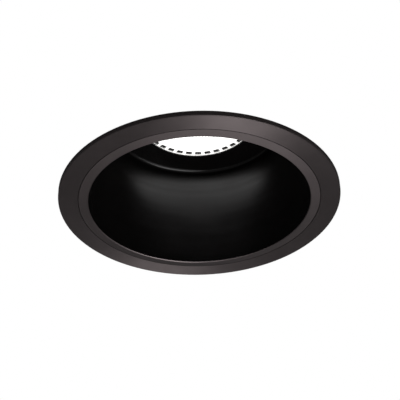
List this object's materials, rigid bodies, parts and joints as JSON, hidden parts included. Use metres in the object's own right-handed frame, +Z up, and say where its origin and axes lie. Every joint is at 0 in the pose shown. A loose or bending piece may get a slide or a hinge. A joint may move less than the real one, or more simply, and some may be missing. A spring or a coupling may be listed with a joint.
{
  "type": "recessed soffit downlight",
  "caption": "Round black recessed downlight for a soffit: deep cone baffle, set-back lens, finned heat sink, driver case and two folding spring clips.",
  "frame": {"origin": "on the axis of the fixture, in the plane of the soffit that the gasket presses against", "axes": "+Z up through the cut-out into the void, along the collar's axis; +X towards the right spring clip; +Y towards the cable gland"},
  "size_m": [0.1768, 0.14, 0.1322],
  "materials": {
    "black_face": "turned and anodised black",
    "baffle_black": "satin black",
    "housing_black": "fine powder coat",
    "sink_metal": "black anodised",
    "seal_rubber": "matt",
    "silicone": "matt translucent silicone",
    "lens_clear": "clear moulded optic",
    "bezel_metal": "satin",
    "holder_plastic": "moulded",
    "board_white": "white solder mask",
    "ceramic": "ceramic",
    "phosphor": "silicone with phosphor",
    "lead_red": "insulation",
    "lead_black": "insulation",
    "case_plastic": "fine moulded texture",
    "board_green": "solder mask",
    "terminal_plastic": "moulded",
    "ferrite": "sintered",
    "winding_tape": "polyester tape",
    "can_sleeve": "shrink sleeve",
    "gland_nylon": "nylon",
    "zinc_steel": "bright zinc",
    "spring_steel": "oiled spring wire",
    "screw_steel": "stainless",
    "screw_black": "black zinc",
    "foot_rubber": "matt"
  },
  "bodies": {
    "root": {"trim_ring": "black_face", "soffit_gasket": "seal_rubber", "baffle": "baffle_black", "baffle_springs": "spring_steel", "lens": "lens_clear", "lens_bezel": "bezel_metal", "lens_seal": "seal_rubber", "lens_holder": "holder_plastic", "lens_screws": "screw_black", "thermal_pad": "silicone", "led_board": "board_white", "led_chip": "ceramic", "led_phosphor": "phosphor", "board_screws": "screw_steel", "lead_positive": "lead_red", "lead_negative": "lead_black", "housing": "housing_black", "housing_seal": "silicone", "trim_screws": "screw_black", "heat_sink": "sink_metal", "heat_sink_screws": "screw_steel", "driver_case": "case_plastic", "lead_grommet": "seal_rubber", "case_gasket": "silicone", "rear_cover": "case_plastic", "cover_screws": "screw_steel", "case_screws": "screw_steel", "driver_board": "board_green", "driver_screws": "screw_steel", "terminal_block": "terminal_plastic", "terminal_screws": "screw_steel", "transformer_core": "ferrite", "transformer_winding": "winding_tape", "capacitors": "can_sleeve", "choke": "ferrite", "gland_body": "gland_nylon", "gland_seal": "seal_rubber", "gland_washer": "seal_rubber", "gland_nut": "gland_nylon", "gland_locknut": "gland_nylon", "clip_bracket_right": "zinc_steel", "hinge_pin_right": "screw_steel", "torsion_spring_right": "spring_steel", "clip_bracket_left": "zinc_steel", "hinge_pin_left": "screw_steel", "torsion_spring_left": "spring_steel", "pin_clips": "spring_steel", "bracket_screws": "screw_steel"},
    "clip_right": {"spring_arm_right": "zinc_steel", "foot_pad_right": "foot_rubber"},
    "clip_left": {"spring_arm_left": "zinc_steel", "foot_pad_left": "foot_rubber"}
  },
  "joints": [
    {"name": "clip_right_fold", "type": "hinge", "parent": "root", "child": "clip_right", "pos_m": [0.05767, 0, 0.05], "axis": [0, -1, 0], "range_deg": [0, 147.8], "stiffness_Nm_per_rad": 0.15, "springref_deg": -28.65, "deforming": ["torsion_spring_right"]},
    {"name": "clip_left_fold", "type": "hinge", "parent": "root", "child": "clip_left", "pos_m": [-0.05767, 0, 0.05], "axis": [0, 1, 0], "range_deg": [0, 147.8], "stiffness_Nm_per_rad": 0.15, "springref_deg": -28.65, "deforming": ["torsion_spring_left"]}
  ]
}
